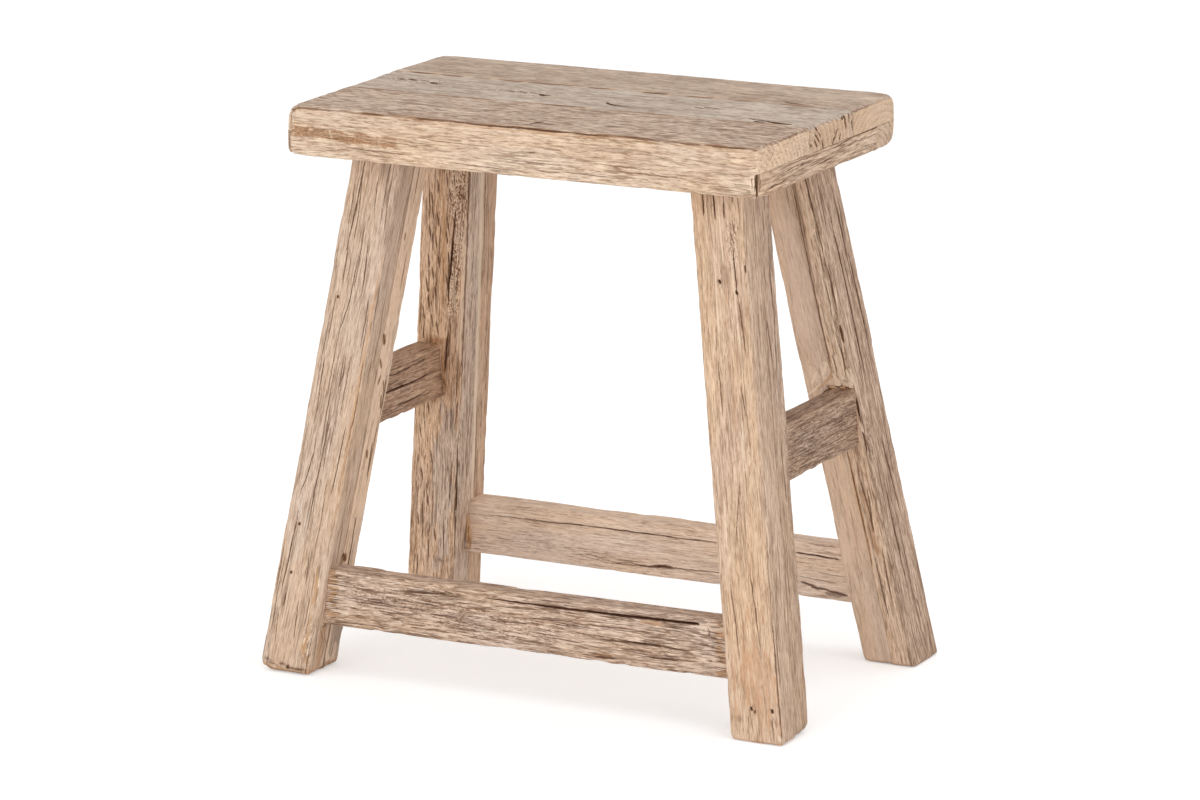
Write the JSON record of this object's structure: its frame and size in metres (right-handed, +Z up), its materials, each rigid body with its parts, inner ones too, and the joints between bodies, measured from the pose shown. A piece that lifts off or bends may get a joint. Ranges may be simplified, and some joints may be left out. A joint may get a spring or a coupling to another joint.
{
  "type": "wooden stool",
  "caption": "Small rectangular stool of reclaimed timber with a planked seat over a rim of edge strips, splayed glued-up legs, and low long and higher side stretchers.",
  "frame": {"origin": "centre of the stool on the floor, under the middle of the seat", "axes": "+Z up; +X along the seat towards its right end; +Y across the seat towards its back, so the front faces -Y"},
  "size_m": [0.459, 0.2712, 0.45],
  "materials": {
    "seat_boards": "weathered grey-brown, dry, lightly sanded",
    "edge_strips": "pale sanded timber, dry",
    "cleats": "plain sawn timber, dry",
    "legs": "old timber with open grain, dry",
    "stretchers": "rough weathered timber, dry",
    "screws": "dull zinc plate"
  },
  "bodies": {
    "root": {"seat_board_front": "seat_boards", "seat_board_middle": "seat_boards", "seat_board_back": "seat_boards", "edge_strip_front": "edge_strips", "edge_strip_back": "edge_strips", "edge_strip_left": "edge_strips", "edge_strip_right": "edge_strips", "cleat_left": "cleats", "cleat_right": "cleats", "leg_front_left_outer": "legs", "leg_front_left_inner": "legs", "leg_front_right_outer": "legs", "leg_front_right_inner": "legs", "leg_back_left_outer": "legs", "leg_back_left_inner": "legs", "leg_back_right_outer": "legs", "leg_back_right_inner": "legs", "stretcher_front": "stretchers", "stretcher_back": "stretchers", "stretcher_left": "stretchers", "stretcher_right": "stretchers", "cleat_screws": "screws"}
  },
  "joints": []
}
